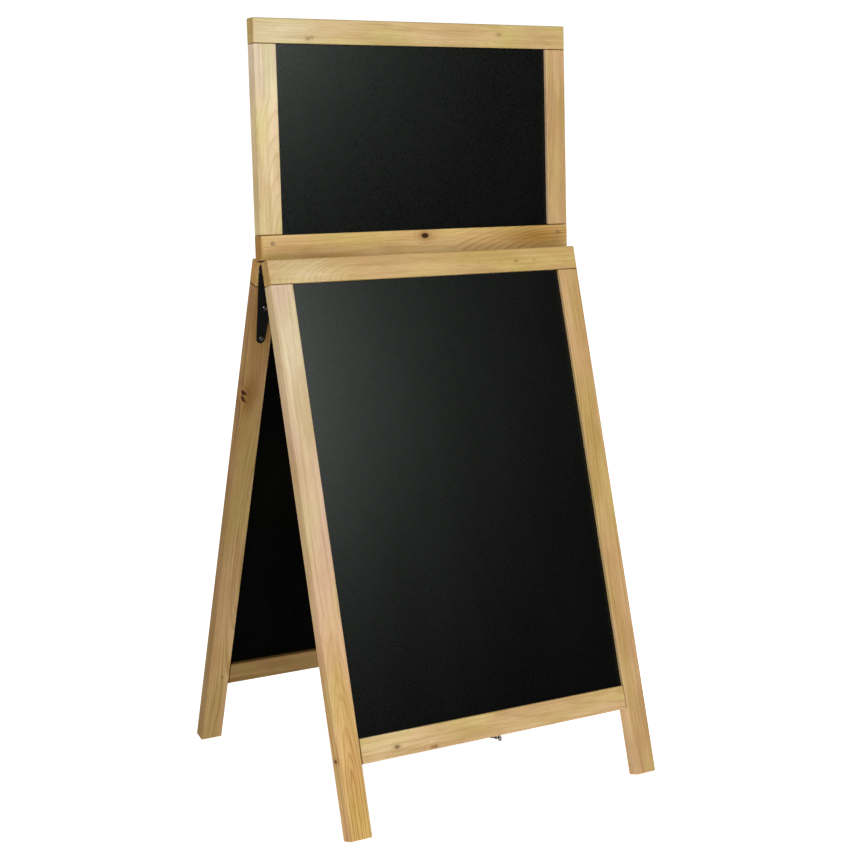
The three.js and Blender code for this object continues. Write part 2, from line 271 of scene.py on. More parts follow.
# What each member's timber is like, in millimetres from its middle. pith is where the tree's centre
# lies, as (across, deep). sweep = (start, end, across, deep) moves it by (across, deep) between two
# places along the member, which draws nested arches on the face. ring is how far apart the growth
# rings are, and contrast how dark their late wood is. figure = (along, half length) is where the
# rings show most, and wander is how far the pith strays. knots are (along, across, deep, radius,
# darkness). In spiked timber they are cut lengthwise, as rows that run together with no ring of bark.
# patches are (along, across, half length, half width, colour), colours that the timber's own is multiplied by:
# most are its own tone, and some are painted sheen, painted light or painted shade. seed shifts the noise.
@dataclass
class Timber:
    tint: tuple
    pith: tuple = (30, -45)
    sweep: tuple = (-400, 400, 10, 0)
    ring: float = 3.0
    contrast: float = 0.5
    figure: tuple = (0, 900)
    wander: float = 14.0
    knots: tuple = ()
    spiked: bool = False
    tone_and_light_patches: tuple = ()
    seed: float = 0.0


FACE = STOCK_THICKNESS / 2
HONEY = (0.575, 0.39, 0.155)
TIMBER = {
    "header_top_rail": Timber(
        (0.575, 0.451, 0.210),
        pith=(55, -30),
        sweep=(-275, 275, -20, 6),
        ring=3.4,
        contrast=0.3,
        knots=((-186, -11, FACE, 2.6, 0.4), (-179, -9, FACE, 1.6, 0.4), (150, 2, FACE, 3.0, 0.3)),
        # Painted sheen: the first patch whitens the left of the rail where the key light's reflection falls; the
        # second darkens the right.
        tone_and_light_patches=((-230, 0, 110, 40, (1.10, 1.30, 1.62)), (240, 0, 140, 40, (0.93, 0.90, 0.86))),
        seed=1.0,
    ),
    "header_bottom_rail": Timber(
        (0.660, 0.495, 0.212),
        pith=(-24, -9),
        sweep=(225, 60, -8, -30),
        ring=4.0,
        contrast=0.85,
        figure=(175, 150),
        wander=20,
        knots=((5.8, 8.7, FACE, 5.0, 1.0),),
        tone_and_light_patches=(
            (215, 0, 120, 40, (0.62, 0.49, 0.26)),
            (-190, -4, 150, 40, (0.88, 0.82, 0.76)),
            (-150, -16, 90, 10, (0.86, 0.78, 0.66)),
            # Painted shade: the last five millimetres at the left end, and its end face, are darker.
            (-275, 0, 5, 60, (0.75, 0.64, 0.52)),
        ),
        seed=2.0,
    ),
    "header_left_stile": Timber(
        (0.666, 0.555, 0.315),
        pith=(-26, -26),
        sweep=(-160, 60, 12, -20),
        ring=2.8,
        contrast=0.45,
        # Painted sheen: the upper part is whitened where the key light's reflection falls.
        tone_and_light_patches=((110, 0, 90, 40, (1.03, 1.14, 1.50)),),
        seed=3.0,
    ),
    "header_right_stile": Timber(
        (0.533, 0.384, 0.181),
        pith=(35, -35),
        sweep=(-160, 160, -10, 10),
        ring=3.1,
        contrast=0.5,
        # Painted light: a bright strip along the inner edge, by the panel, where its side catches light from the
        # left.
        tone_and_light_patches=((0, 18, 900, 1.6, (1.40, 1.48, 1.90)),),
        seed=4.0,
    ),
    "front_top_rail": Timber(
        (0.59, 0.429, 0.185),
        pith=(-15, -6),
        sweep=(-140, -290, -3, -40),
        ring=2.9,
        contrast=0.55,
        figure=(-190, 120),
        knots=((159, -2, FACE, 1.5, 0.5), (194, -2, FACE, 1.2, 0.4)),
        # Painted sheen: the first patch whitens the left of the rail where the key light's reflection falls.
        tone_and_light_patches=((-215, 0, 90, 40, (1.12, 1.26, 1.65)), (230, 0, 120, 40, (1.04, 1.03, 1.08))),
        seed=5.0,
    ),
    "front_left_stile": Timber(
        (0.640, 0.475, 0.305),
        pith=(0.5, 8.5),
        sweep=(-330, -80, 0, -26),
        ring=3.6,
        contrast=1.0,
        figure=(-300, 165),
        wander=4,
        knots=((-290, 18.5, 0, 2.0, 0.8),),
        tone_and_light_patches=(
            # Painted sheen: the upper part is whitened where the key light's reflection falls, and the lower part
            # is painted warmer where that reflection fades.
            (330, 0, 220, 60, (1.10, 1.23, 1.45)),
            (-330, 0, 400, 60, (1.17, 1.07, 0.66)),
            # Painted shade: the outer side face is darker, as it faces away from the key light.
            (0, 18.25, 900, 1.5, (0.88, 0.84, 0.74)),
        ),
        seed=6.0,
    ),
    "front_right_stile": Timber(
        (0.595, 0.420, 0.195),
        pith=(30, -50),
        sweep=(-300, 300, 10, 20),
        ring=3.2,
        contrast=0.6,
        # Painted light: a bright strip along the inner edge, by the panel, where its side catches light from the
        # left.
        tone_and_light_patches=((0, 18.25, 900, 1.6, (1.28, 1.36, 1.55)),),
        seed=7.0,
    ),
    "front_bottom_rail": Timber(
        (0.654, 0.486, 0.238),
        pith=(20, -45),
        sweep=(-240, 240, -10, 6),
        ring=3.0,
        contrast=0.4,
        knots=(
            (-177.8, -3.5, FACE, 3.0, 0.6),
            (-113.7, -14, FACE, 2.2, 0.5),
            (-120, -14, FACE, 1.7, 0.4),
        ),
        # Painted sheen: the left of the rail is whitened where the key light's reflection falls.
        tone_and_light_patches=((-190, 0, 130, 40, (1.09, 1.20, 1.22)),),
        seed=8.0,
    ),
    "rear_top_rail": Timber(HONEY, pith=(40, 30), sweep=(-275, 275, 6, 20), ring=3.2, seed=9.0),
    "rear_left_stile": Timber(
        (0.536, 0.381, 0.170),
        pith=(-30, 30),
        sweep=(300, -300, 16, 14),
        ring=2.9,
        contrast=0.9,
        wander=26,
        knots=(
            (231, 19.4, FACE, 3.6, 1.0),
            (230, 17, FACE, 2.6, 1.0),
            (229, 14, FACE, 2.0, 0.85),
            (227.5, 11, FACE, 1.5, 0.6),
            (226.5, 20.8, FACE, 2.6, 1.0),
            (222.5, 19.4, FACE, 3.2, 1.0),
            (219.5, 16.4, FACE, 2.6, 1.0),
            (216.5, 13.2, FACE, 1.9, 0.8),
            (213, 9.5, FACE, 1.4, 0.55),
        ),
        spiked=True,
        tone_and_light_patches=(
            # Darker at the top: partly browner wood, partly painted shade from the hinge and the header above.
            (360, 0, 120, 60, (0.80, 0.72, 0.60)),
            (228, 8, 55, 26, (0.70, 0.58, 0.42)),
            # Darker along the outer side face.
            (0, 20, 900, 5, (0.52, 0.40, 0.24)),
        ),
        seed=10.0,
    ),
    "rear_right_stile": Timber(
        HONEY,
        pith=(20, 24),
        sweep=(100, -300, 0, 30),
        ring=3.3,
        contrast=0.6,
        seed=11.0,
    ),
    "rear_bottom_rail": Timber(
        (0.341, 0.227, 0.085),
        pith=(-25, 50),
        sweep=(-240, 240, 12, 10),
        ring=3.0,
        contrast=0.8,
        seed=12.0,
    ),
}

# How far late wood darkens each channel, the colours that the timber's own is multiplied by, and
# how near a glued end the wood starts and stops being dark.
LATE_WOOD_LOSS = (0.30, 0.44, 0.62)
MOTTLE = colour(0.87, 0.82, 0.74)
STREAK = colour(0.90, 0.87, 0.81)
FIBRE = colour(0.88, 0.85, 0.80)
PORE = colour(0.5, 0.38, 0.26)
PORE_SHARE = 0.30
YELLOWED = colour(0.99, 1.02, 0.88)
PINKED = colour(1.05, 0.98, 1.09)
END_GRAIN = colour(0.80, 0.70, 0.48)
GLUE_LINE = colour(0.34, 0.22, 0.12)
GLUE_REACH = (0.5 * MM, 2.2 * MM)

# A growth ring's darkness from its early wood to its late wood, as (share of the ring, darkness).
RING_CURVE = ((0, 0.0), (0.55, 0.12), (0.86, 1.0), (1, 0.0))
RING_UNEVENNESS = 1.6

# A knot's own colours, where its parts lie, in its radii from its middle, how strongly they show,
# how much its shape is drawn out along the grain and into the depth, and how it pushes the grain.
KNOT_CORE = colour(0.042, 0.010, 0.0015)
KNOT_HALO = colour(0.33, 0.17, 0.045)
CORE_EDGE = (0.6, 1.1)
HALO_EDGE = (0.8, 2.6)
BARK_RADIUS, BARK_WIDTH = 2.45, 0.28
HALO_SHARE, BARK_SHARE = 0.7, 0.35
KNOT_ROUGHNESS = 0.7
KNOT_LENGTHENED, KNOT_DEEPENED = 0.62, 0.4
KNOT_PUSH, KNOT_REACH, KNOT_SOFTENING = 0.8, 1.9, 0.35


def knot_flow(tree, point, knot):
    """How far a knot pushes the grain lines aside, and the distance from it in radii."""
    along, across, depth = tree.split(point)
    knot_along, knot_across, knot_depth, radius = (value * MM for value in knot[:4])
    run = tree.math("MULTIPLY", tree.math("SUBTRACT", along, knot_along), KNOT_LENGTHENED)
    rise = tree.math("SUBTRACT", across, knot_across)
    sink = tree.math("MULTIPLY", tree.math("SUBTRACT", depth, knot_depth), KNOT_DEEPENED)
    distance = tree.vector("LENGTH", tree.join(run, rise, sink))
    reach = (KNOT_REACH * radius) ** 2
    softened = tree.math("MULTIPLY_ADD", distance, distance, KNOT_SOFTENING * reach)
    pull = tree.math("DIVIDE", KNOT_PUSH * reach, softened)
    return tree.math("MULTIPLY", rise, pull), tree.math("DIVIDE", distance, radius)


def ring_radius(tree, timber, point, shifted, flow):
    """The distance from the tree's wandering centre."""
    along, _, depth = tree.split(point)
    drift = tree.vector("MULTIPLY", shifted, (3.2, 9.0, 9.0))
    drift_noise = tree.add("ShaderNodeTexNoise", {"Vector": drift, "Scale": 1.0, "Detail": 1.0})
    wander = tree.vector("SUBTRACT", drift_noise.outputs["Color"], (0.5, 0.5, 0.5))
    wander_across, wander_depth, _ = tree.split(wander)
    start, end, across_shift, depth_shift = (value * MM for value in timber.sweep)
    swept = tree.add("ShaderNodeMapRange", {0: along, 1: start, 2: end}).outputs[0]
    swept = tree.math("SMOOTH_MAX", swept, 0.0, 0.15)
    pith_across = tree.math("MULTIPLY_ADD", swept, across_shift, timber.pith[0] * MM)
    pith_depth = tree.math("MULTIPLY_ADD", swept, depth_shift, timber.pith[1] * MM)
    side_way = tree.math("SUBTRACT", flow, pith_across)
    side_way = tree.math("MULTIPLY_ADD", wander_across, timber.wander * MM, side_way)
    down_way = tree.math("SUBTRACT", depth, pith_depth)
    down_way = tree.math("MULTIPLY_ADD", wander_depth, timber.wander * MM, down_way)
    return tree.vector("LENGTH", tree.join(side_way, down_way, 0.0))


def late_wood(tree, timber, along, radius, fade):
    """How dark the growth rings make the timber, from 0 to 1."""
    ring_count = tree.math("DIVIDE", radius, timber.ring * MM)
    uneven = tree.noise(tree.join(ring_count, timber.seed, 0.0), 0.55, 1.0)
    ring_count = tree.math("MULTIPLY_ADD", uneven, RING_UNEVENNESS, ring_count)
    late = tree.curve(tree.math("FRACT", ring_count), RING_CURVE)
    late = tree.math("MULTIPLY", late, tree.ease(fade, 0.28, 0.72, 0.25, 1.0))
    figure_at, figure_half = (value * MM for value in timber.figure)
    off_figure = tree.math("ABSOLUTE", tree.math("SUBTRACT", along, figure_at))
    clear = tree.ease(off_figure, 0.6 * figure_half, figure_half, 1.0, 0.4)
    return tree.math("MULTIPLY", late, clear)


def add_tone_and_light_patches(tree, timber, point, shade):
    """Multiplies the timber's patches in, each fading from its middle: most are its own tone, and some are painted
    sheen, painted light or painted shade.
    """
    for at_along, at_across, half_length, half_width, patch in timber.tone_and_light_patches:
        gap = tree.vector("SUBTRACT", point, (at_along * MM, at_across * MM, 0))
        gap = tree.vector("MULTIPLY", gap, (1 / (half_length * MM), 1 / (half_width * MM), 0))
        share = tree.ease(tree.vector("LENGTH", gap), 0.0, 1.0, 1.0, 0.0)
        shade = tree.blend(share, shade, colour(*patch), "MULTIPLY")
    return shade


def add_knots(tree, timber, rings, fade, shade):
    """Blends the knots in. Returns the colour and how much of it is knot."""
    knot_mask = 0.0
    for ring, knot in zip(rings, timber.knots, strict=True):
        darkness = knot[4]
        uneven = tree.math("SUBTRACT", fade, 0.5)
        ring = tree.math("MULTIPLY_ADD", uneven, KNOT_ROUGHNESS, ring)
        halo = tree.ease(ring, *HALO_EDGE, HALO_SHARE * darkness, 0.0)
        shade = tree.blend(halo, shade, KNOT_HALO)
        if not timber.spiked:
            off_bark = tree.math("ABSOLUTE", tree.math("SUBTRACT", ring, BARK_RADIUS))
            bark = tree.ease(off_bark, 0.0, BARK_WIDTH, BARK_SHARE * darkness, 0.0)
            shade = tree.blend(bark, shade, KNOT_HALO)
        core = tree.ease(ring, *CORE_EDGE, darkness, 0.0)
        knot_mask = tree.math("MAXIMUM", knot_mask, core)
    return tree.blend(knot_mask, shade, KNOT_CORE), knot_mask


def add_ends(tree, member, along, shade):
    """Darkens end grain, which drinks more varnish, and joints, which glue has darkened.

    Returns the colour and how much of it is end grain.
    """
    facing = tree.add("ShaderNodeNewGeometry").outputs["True Normal"]
    grain_way = member.place.to_3x3() @ Vector((1, 0, 0))
    end_on = tree.math("ABSOLUTE", tree.vector("DOT_PRODUCT", facing, grain_way))
    end_grain = tree.ease(end_on, 0.55, 0.9)
    shade = tree.blend(end_grain, shade, END_GRAIN, "MULTIPLY")
    if any(member.joint_ends):
        toward_joint = tree.math("ABSOLUTE", along) if all(member.joint_ends) else along
        to_joint = tree.math("SUBTRACT", member.size.x / 2, toward_joint)
        glued = tree.ease(to_joint, *GLUE_REACH, 1.0, 0.0)
        shade = tree.blend(glued, shade, GLUE_LINE, "MULTIPLY")
    return shade, end_grain


def wood_colours(tree, member, timber):
    """The colour, roughness and height sockets of a member's varnished timber."""
    point = local_point(tree, member.place)
    along, flow, _ = tree.split(point)
    seed = timber.seed
    shifted = tree.vector("ADD", point, (seed * 1.37, seed * 0.71, seed * 0.23))
    knot_rings = []
    for knot in timber.knots:
        push, ring = knot_flow(tree, point, knot)
        flow = tree.math("SUBTRACT", flow, push)
        knot_rings.append(ring)

    fade = tree.grain_noise(shifted, 7.0, 60.0)
    fibre = tree.grain_noise(shifted, 14.0, 900.0, 3.0, 0.6)
    streak = tree.grain_noise(shifted, 4.0, 210.0)
    pore = tree.ease(tree.grain_noise(shifted, 130.0, 1500.0, 0.0), 0.66, 0.78)
    mottle = tree.grain_noise(shifted, 9.0, 34.0, 3.0, 0.6)
    hue = tree.grain_noise(shifted, 9.0, 30.0, 1.0)
    radius = ring_radius(tree, timber, point, shifted, flow)
    late = late_wood(tree, timber, along, radius, fade)

    late_shade = colour(*(1 - timber.contrast * loss for loss in LATE_WOOD_LOSS))
    shade = tree.blend(late, colour(*timber.tint), late_shade, "MULTIPLY")
    shade = tree.blend(tree.ease(mottle, 0.36, 0.64), shade, MOTTLE, "MULTIPLY")
    shade = tree.blend(tree.ease(streak, 0.3, 0.72), shade, STREAK, "MULTIPLY")
    shade = tree.blend(tree.ease(fibre, 0.25, 0.75), shade, FIBRE, "MULTIPLY")
    shade = tree.blend(tree.math("MULTIPLY", pore, PORE_SHARE), shade, PORE, "MULTIPLY")
    shade = add_tone_and_light_patches(tree, timber, point, shade)
    cast = tree.blend(tree.ease(hue, 0.3, 0.7), YELLOWED, PINKED)
    shade = tree.blend(1.0, shade, cast, "MULTIPLY")
    shade, knot_mask = add_knots(tree, timber, knot_rings, fade, shade)
    shade, end_grain = add_ends(tree, member, along, shade)

    roughness = tree.math("MULTIPLY_ADD", fibre, 0.08, 0.27)
    roughness = tree.math("MULTIPLY_ADD", knot_mask, 0.6, roughness)
    roughness = tree.math("MULTIPLY_ADD", end_grain, 0.12, roughness)
    height = tree.math("MULTIPLY_ADD", late, 0.30, tree.math("MULTIPLY", fibre, 0.35))
    height = tree.math("SUBTRACT", height, tree.math("MULTIPLY", pore, 0.5))
    return shade, roughness, height


def wood_material(member, timber):
    """A member's varnished timber, with its own figure."""
    material, tree, shader = new_material(
        f"varnished_{member.name}",
        specular_ior_level=0.27,
        ior=1.5,
        coat_weight=0.03,
        coat_roughness=0.25,
        coat_ior=1.5,
    )
    shade, roughness, height = wood_colours(tree, member, timber)
    link_surface(tree, shader, shade, roughness, height, strength=0.35, distance=0.08 * MM)
    return material


# ---------------------------------------------------------------------------------------------
# Rounded arrises on CAD nodes
# ---------------------------------------------------------------------------------------------
WELD = 0.00002
TOUCH = 0.00005
MEMBER_ROUNDING = 0.0021


def geometry_group(name):
    group = bpy.data.node_groups.new(name, "GeometryNodeTree")
    for way in ("INPUT", "OUTPUT"):
        group.interface.new_socket("Geometry", in_out=way, socket_type="NodeSocketGeometry")
    tree = Tree(group)
    return group, tree, tree.add("NodeGroupInput").outputs[0], tree.add("NodeGroupOutput")


def arris_group(member):
    """Stores how far each outer edge of a member is rounded, for its Bevel modifier to read."""
    group, tree, geometry, out = geometry_group(f"arrises_{member.name}")
    ends = tree.add("GeometryNodeInputMeshEdgeVertices")
    axes = member.place.to_3x3().transposed()
    points = []
    for position in ends.outputs["Position 1"], ends.outputs["Position 2"]:
        offset = tree.vector("SUBTRACT", position, member.place.to_translation())
        points.append(tree.join(*(tree.vector("DOT_PRODUCT", offset, axis) for axis in axes)))
    nearest = tree.split(tree.vector("MINIMUM", *points))
    furthest = tree.split(tree.vector("MAXIMUM", *points))
    half = member.size / 2
    softness = []
    for axis in range(3):
        on_high = tree.math("GREATER_THAN", nearest[axis], half[axis] - TOUCH)
        on_low = tree.math("LESS_THAN", furthest[axis], TOUCH - half[axis])
        high = tree.math("MULTIPLY", on_high, member.high_soft[axis])
        softness.append(tree.math("MULTIPLY_ADD", on_low, member.low_soft[axis], high))
    first, second, third = softness
    pairs = [tree.math("MINIMUM", *pair) for pair in ((first, second), (second, third), (first, third))]
    weight = tree.math("MAXIMUM", pairs[0], tree.math("MAXIMUM", pairs[1], pairs[2]))
    inputs = {"Geometry": geometry, "Name": "bevel_weight_edge", "Value": weight}
    stored = tree.add(
        "GeometryNodeStoreNamedAttribute", inputs, data_type="FLOAT", domain="EDGE"
    )
    tree.links.new(stored.outputs[0], out.inputs[0])
    return group


def smoothing_group(degrees):
    """Shades faces smooth, except across edges that turn by more than some degrees."""
    group, tree, geometry, out = geometry_group(f"smooth_below_{degrees}")
    smooth = tree.add(
        "GeometryNodeSetShadeSmooth", {"Geometry": geometry, "Shade Smooth": True}, domain="FACE"
    )
    turn = tree.add("GeometryNodeInputMeshEdgeAngle").outputs["Unsigned Angle"]
    sharp = tree.math("GREATER_THAN", turn, math.radians(degrees))
    inputs = {"Geometry": smooth.outputs[0], "Selection": sharp, "Shade Smooth": False}
    marked = tree.add("GeometryNodeSetShadeSmooth", inputs, domain="EDGE")
    tree.links.new(marked.outputs[0], out.inputs[0])
    return group


def add_modifier(piece, kind, name, **settings):
    modifier = piece.modifiers.new(name, kind)
    for key, value in settings.items():
        setattr(modifier, key, value)
    return modifier


def join_faces(node):
    """Joins a CAD node's facets into whole faces, so that its edges can be rounded."""
    add_modifier(node, "WELD", "weld", merge_threshold=WELD)
    add_modifier(
        node, "DECIMATE", "whole_faces", decimate_type="DISSOLVE", angle_limit=math.radians(0.5)
    )


def finish_shading(node, group):
    """Smooths the roundings' shading and keeps the large faces flat."""
    add_modifier(node, "NODES", "smooth", node_group=group)
    add_modifier(node, "WEIGHTED_NORMAL", "flat_faces", keep_sharp=True, weight=100)


SMOOTH_BELOW_40 = smoothing_group(40)


def round_member(member):
    """Rounds a member's outer edges, each by its own share of MEMBER_ROUNDING."""
    node = NODES[member.name]
    join_faces(node)
    add_modifier(node, "NODES", "arrises", node_group=arris_group(member))
    add_modifier(
        node,
        "BEVEL",
        "rounding",
        limit_method="WEIGHT",
        width=MEMBER_ROUNDING,
        segments=4,
        use_clamp_overlap=False,
        miter_outer="MITER_ARC",
    )
    finish_shading(node, SMOOTH_BELOW_40)


def round_hardware(name, width):
    """Rounds every edge of a CAD node that turns by more than 50 degrees."""
    node = NODES[name]
    join_faces(node)
    add_modifier(
        node,
        "BEVEL",
        "rounding",
        limit_method="ANGLE",
        angle_limit=math.radians(50),
        width=width,
        segments=2,
        use_clamp_overlap=True,
    )
    finish_shading(node, SMOOTH_BELOW_40)


def give_material(piece, material):
    piece.data.materials.clear()
    piece.data.materials.append(material)


for board_side in PLACE:
    for wooden in frame_members(board_side):
        give_material(NODES[wooden.name], wood_material(wooden, TIMBER[wooden.name]))
        round_member(wooden)


# ---------------------------------------------------------------------------------------------
# Chalk panels
# ---------------------------------------------------------------------------------------------
PANEL_CLEAN = colour(0.0005, 0.0006, 0.0005)
PANEL_DUSTY = colour(0.0012, 0.0014, 0.0013)
PANEL_GRIT = colour(0.005, 0.006, 0.0055)


def chalk_material(side):
    """Near-black panel paint with a fine tooth, faint wiping marks and a satin sheen."""
    material, tree, shader = new_material(
        f"chalk_panel_{side}",
        specular_ior_level=0.325,
        specular_tint=colour(0.90, 1.0, 0.90),
        ior=1.45,
    )
    point = local_point(tree, PLACE[side])
    tooth = tree.noise(point, scale=420.0, roughness=0.7)
    grit = tree.noise(point, scale=1500.0, detail=1.0)
    wipe_way = tree.vector("MULTIPLY", point, (9.0, 9.0, 3.0))
    wipe = tree.noise(wipe_way, detail=4.0, roughness=0.6)
    shade = tree.blend(tree.ease(wipe, 0.3, 0.75), PANEL_CLEAN, PANEL_DUSTY)
    shade = tree.blend(tree.ease(grit, 0.62, 0.75), shade, PANEL_GRIT)
    roughness = tree.spread(tree.ease(tooth, 0.25, 0.75), 0.33, 0.225)
    roughness = tree.math("MULTIPLY_ADD", wipe, 0.03, roughness)
    height = tree.math("MULTIPLY_ADD", grit, 0.4, tooth)
    link_surface(tree, shader, shade, roughness, height, strength=0.65, distance=0.07 * MM)
    return material


for board_side in PLACE:
    give_material(NODES[f"{board_side}_panel"], chalk_material(board_side))


# ---------------------------------------------------------------------------------------------
# Metal finishes
# ---------------------------------------------------------------------------------------------
BLACK_PAINT = (colour(0.005, 0.005, 0.0055), colour(0.012, 0.0115, 0.011))
BARE_STEEL = colour(0.22, 0.21, 0.20)
ZINC = (colour(0.46, 0.455, 0.44), colour(0.28, 0.275, 0.25))


def black_steel():
    """Cloudy black paint over steel, rubbed to metal in small flecks."""
    material, tree, shader = new_material("black_painted_steel", specular_ior_level=0.12, ior=1.5)
    point = tree.add("ShaderNodeTexCoord").outputs["Object"]
    cloud = tree.noise(point, scale=90.0, detail=3.0)
    rub = tree.noise(point, scale=700.0, detail=4.0, roughness=0.7)
    bare = tree.ease(rub, 0.66, 0.72)
    shade = tree.blend(bare, tree.blend(cloud, *BLACK_PAINT), BARE_STEEL)
    roughness = tree.spread(rub, 0.50, 0.70)
    tree.links.new(tree.math("MULTIPLY", bare, 0.8), shader.inputs["Metallic"])
    link_surface(tree, shader, shade, roughness, rub, strength=0.25, distance=0.05 * MM)
    return material


def zinc_steel():
    """Bright zinc plate with cloudy passivation and fine handling marks."""
    material, tree, shader = new_material("zinc_plated_steel", metallic=1.0)
    point = tree.add("ShaderNodeTexCoord").outputs["Object"]
    cloud = tree.noise(point, scale=260.0, detail=3.0)
    mark = tree.noise(point, scale=1900.0)
    shade = tree.blend(cloud, *ZINC)
    roughness = tree.spread(mark, 0.16, 0.34)
    link_surface(tree, shader, shade, roughness, mark, strength=0.15, distance=0.03 * MM)
    return material


BLACK_STEEL = black_steel()
ZINC_STEEL = zinc_steel()

for hinge_side in ("left", "right"):
    for part in ("front_strap", "rear_strap", "header_tang", "pin"):
        part_name = f"{hinge_side}_hinge_{part}"
        round_hardware(part_name, 0.4 * MM)
        give_material(NODES[part_name], BLACK_STEEL)


# ---------------------------------------------------------------------------------------------
# Meshes for the small pieces
# ---------------------------------------------------------------------------------------------
def new_piece(name, vertices, faces, material, smooth_degrees=35):
    """A mesh object with outward normals, smooth except across its sharper edges."""
    mesh = bpy.data.meshes.new(name)
    mesh.from_pydata([tuple(v) for v in vertices], [], faces)
    work = bmesh.new()
    work.from_mesh(mesh)
    bmesh.ops.recalc_face_normals(work, faces=work.faces)
    for face in work.faces:
        face.smooth = True
    for edge in work.edges:
        edge.smooth = edge.calc_face_angle(0.0) < math.radians(smooth_degrees)
    work.to_mesh(mesh)
    work.free()
    mesh.materials.append(material)
    piece = bpy.data.objects.new(name, mesh)
    bpy.context.scene.collection.objects.link(piece)
    return piece


def stand_in(piece, node):
    """Lets a piece stand for a CAD node, on the body that the node rides on."""
    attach(piece, BODY_OF[node])
    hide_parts(node)


def lathe(profile, sides):
    """Vertices and faces of a solid turned about Y. The profile's first and last points are on it."""
    vertices = [Vector((0, profile[0][1], 0))]
    for radius, y in profile[1:-1]:
        for i in range(sides):
            turn = math.tau * i / sides
            vertices.append(Vector((radius * math.cos(turn), y, radius * math.sin(turn))))
    vertices.append(Vector((0, profile[-1][1], 0)))
    faces = []
    rings = len(profile) - 2
    for i in range(sides):
        j = (i + 1) % sides
        faces.append((0, 1 + i, 1 + j))
        for ring in range(rings - 1):
            low, high = 1 + ring * sides, 1 + (ring + 1) * sides
            faces.append((low + i, high + i, high + j, low + j))
        top = 1 + (rings - 1) * sides
        faces.append((top + i, len(vertices) - 1, top + j))
    return vertices, faces


def node_box(node, side):
    """The lowest and highest corners of a CAD node in its board's axes."""
    inverse = PLACE[side].inverted()
    points = np.array([inverse @ v.co for v in NODES[node].data.vertices])
    return Vector(points.min(0)), Vector(points.max(0))


SCREW_SIDES = 40
DOME_STEPS = 18
HEAD_RIM = 0.06  # the share of a head's height that stands upright under the dome


def cross_recess(vertices, head_radius, head_height):
    """Sinks a cross-shaped driver recess into the dome of a screw head."""
    arm, width, depth = 0.52 * head_radius, 0.17 * head_radius, 0.62 * head_height
    for vertex in vertices:
        if vertex.y < 0.2 * head_height:
            continue
        reach = math.hypot(vertex.x, vertex.z)
        offset = min(abs(vertex.x), abs(vertex.z))
        across = max(0.0, 1 - (offset / width) ** 4)
        along = max(0.0, 1 - (reach / arm) ** 3)
        vertex.y -= depth * across * along


def screw_profile(shank, head, head_height, length, tip):
    """A screw's (radius, height) outline, from its point to the top of its domed head."""
    profile = [(0, -length), (0.25 * shank, 0.4 * tip - length), (shank, tip - length)]
    profile += [(shank, -0.4 * MM), (shank, 0), (0.94 * head, 0), (head, HEAD_RIM * head_height)]
    for i in range(1, DOME_STEPS):
        turn = math.pi / 2 * i / DOME_STEPS
        height = HEAD_RIM + (1 - HEAD_RIM) * math.sin(turn)
        profile.append((head * math.cos(turn), head_height * height))
    profile.append((0, head_height))
    return profile


# Radii and lengths in millimetres.
LEAF_SCREW = {"shank": 2, "head": 3.7, "head_height": 2.2, "length": 16, "tip": 4}
TANG_SCREW = {"shank": 1.4, "head": 3, "head_height": 1.6, "length": 15, "tip": 3}


def make_screw(node, side, head_side, sizes, turned):
    """A screw where a CAD node is, with its head on the board's +Y side (1) or -Y side (-1)."""
    sizes = {key: value * MM for key, value in sizes.items()}
    vertices, faces = lathe(screw_profile(**sizes), SCREW_SIDES)
    cross_recess(vertices, sizes["head"], sizes["head_height"])
    low, high = node_box(node, side)
    underside = high.y - sizes["head_height"] if head_side > 0 else low.y + sizes["head_height"]
    spot = Vector(((low.x + high.x) / 2, underside, (low.z + high.z) / 2))
    place = PLACE[side] @ Matrix.Translation(spot)
    if head_side < 0:
        place = place @ Matrix.Rotation(math.pi, 4, "X")
    place = place @ Matrix.Rotation(turned, 4, "Y")
    piece = new_piece(f"{node}_detail", [place @ v for v in vertices], faces, ZINC_STEEL)
    stand_in(piece, node)


turns = random.Random(7)
for hinge_side in ("left", "right"):
    for board_side, head_way in (("front", 1), ("rear", -1)):
        for number in (1, 2, 3):
            screw_node = f"{hinge_side}_hinge_{board_side}_screw_{number}"
            make_screw(screw_node, board_side, head_way, LEAF_SCREW, turns.uniform(0, math.pi))
    for number in (1, 2):
        screw_node = f"{hinge_side}_hinge_tang_screw_{number}"
        make_screw(screw_node, "header", 1, TANG_SCREW, turns.uniform(0, math.pi))


# ---------------------------------------------------------------------------------------------
# Joint pins: fluted dowels with a softened head, flush with the face
# ---------------------------------------------------------------------------------------------
PIN_COLOURS = (colour(0.38, 0.25, 0.10), colour(0.53, 0.37, 0.15))
PIN_CHAMFER = 0.3 * MM
PIN_SIDES = 32
FLUTE_EVERY, FLUTE_RADIUS = 4, 0.9


def pin_material():
    """End grain of a hardwood dowel, a little darker than the members round it."""
    material, tree, shader = new_material("dowel_end_grain", ior=1.5, coat_weight=0.2)
    point = tree.add("ShaderNodeTexCoord").outputs["Object"]
    fibre = tree.noise(point, scale=1400.0, detail=3.0, roughness=0.6)
    shade = tree.blend(fibre, *PIN_COLOURS)
    roughness = tree.spread(fibre, 0.40, 0.58)
    link_surface(tree, shader, shade, roughness, fibre, strength=0.3, distance=0.05 * MM)
    return material


PIN_WOOD = pin_material()


